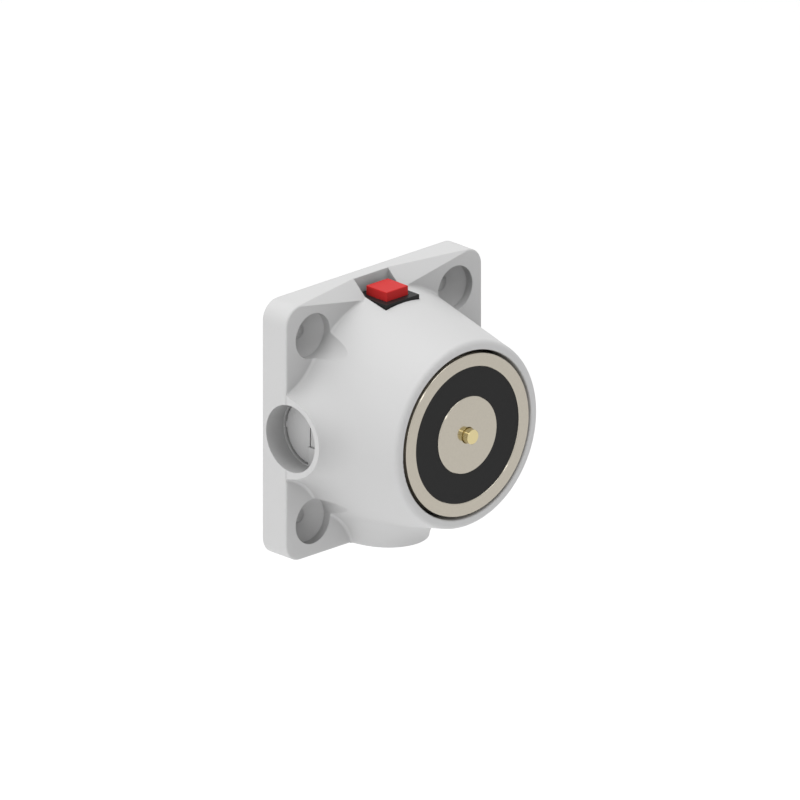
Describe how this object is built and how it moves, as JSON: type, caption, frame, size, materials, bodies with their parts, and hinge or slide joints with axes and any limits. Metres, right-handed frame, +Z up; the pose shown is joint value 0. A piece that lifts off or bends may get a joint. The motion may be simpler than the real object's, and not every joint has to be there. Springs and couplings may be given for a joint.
{
  "type": "electromagnetic door holder",
  "caption": "Wall-mounted door holding electromagnet: square moulded base with a conical body, round pot magnet, sprung pin and red release button.",
  "frame": {"origin": "middle of the wall face, centre of the wall screw pattern", "axes": "+Y into the wall, so the magnet faces -Y; +Z up, the button side; +X right for a person who faces the wall"},
  "size_m": [0.085, 0.0509, 0.085],
  "materials": {
    "housing_plastic": "fine-grained moulded surface, light grey",
    "nickel_steel": "turned and nickel plated",
    "potting_resin": "cast black resin, satin",
    "bobbin_plastic": "natural moulded plastic",
    "winding_copper": "enamelled copper wire",
    "pin_brass": "turned brass",
    "spring_steel": "drawn spring wire",
    "zinc_steel": "bright zinc plated",
    "black_plastic": "fine satin black",
    "red_plastic": "smooth satin red",
    "contact_brass": "stamped contact strip",
    "terminal_plastic": "natural white moulded plastic",
    "bush_rubber": "soft black",
    "red_insulation": "smooth insulation",
    "black_insulation": "smooth insulation",
    "blue_insulation": "smooth insulation",
    "diode_plastic": "moulded body with tinned wires"
  },
  "bodies": {
    "base": {"housing": "housing_plastic", "pot_core": "nickel_steel", "coil_bobbin": "bobbin_plastic", "coil_winding": "winding_copper", "potting_ring": "potting_resin", "ejector_spring": "spring_steel", "ejector_plug": "zinc_steel", "lead_bush": "bush_rubber", "magnet_screws": "zinc_steel", "magnet_washers": "spring_steel", "switch_case": "black_plastic", "switch_base": "black_plastic", "switch_contacts": "contact_brass", "button_spring": "spring_steel", "terminal_block": "terminal_plastic", "terminal_clamps": "contact_brass", "terminal_screws": "zinc_steel", "terminal_fixing_screw": "zinc_steel", "suppressor_diode": "diode_plastic", "supply_lead": "red_insulation", "switch_lead": "black_insulation", "coil_lead": "blue_insulation"},
    "button": {"switch_button": "red_plastic", "contact_bridge": "contact_brass"},
    "pin": {"ejector_pin": "pin_brass"}
  },
  "joints": [
    {"name": "button_press", "type": "slide", "parent": "base", "child": "button", "axis": [0, 0, -1], "range_m": [0, 0.002], "stiffness_N_per_m": 500, "springref_m": -0.002, "deforming": ["button_spring"]},
    {"name": "pin_press", "type": "slide", "parent": "base", "child": "pin", "axis": [0, 1, 0], "range_m": [0, 0.00235], "stiffness_N_per_m": 1000, "springref_m": -0.003, "deforming": ["ejector_spring"]}
  ]
}
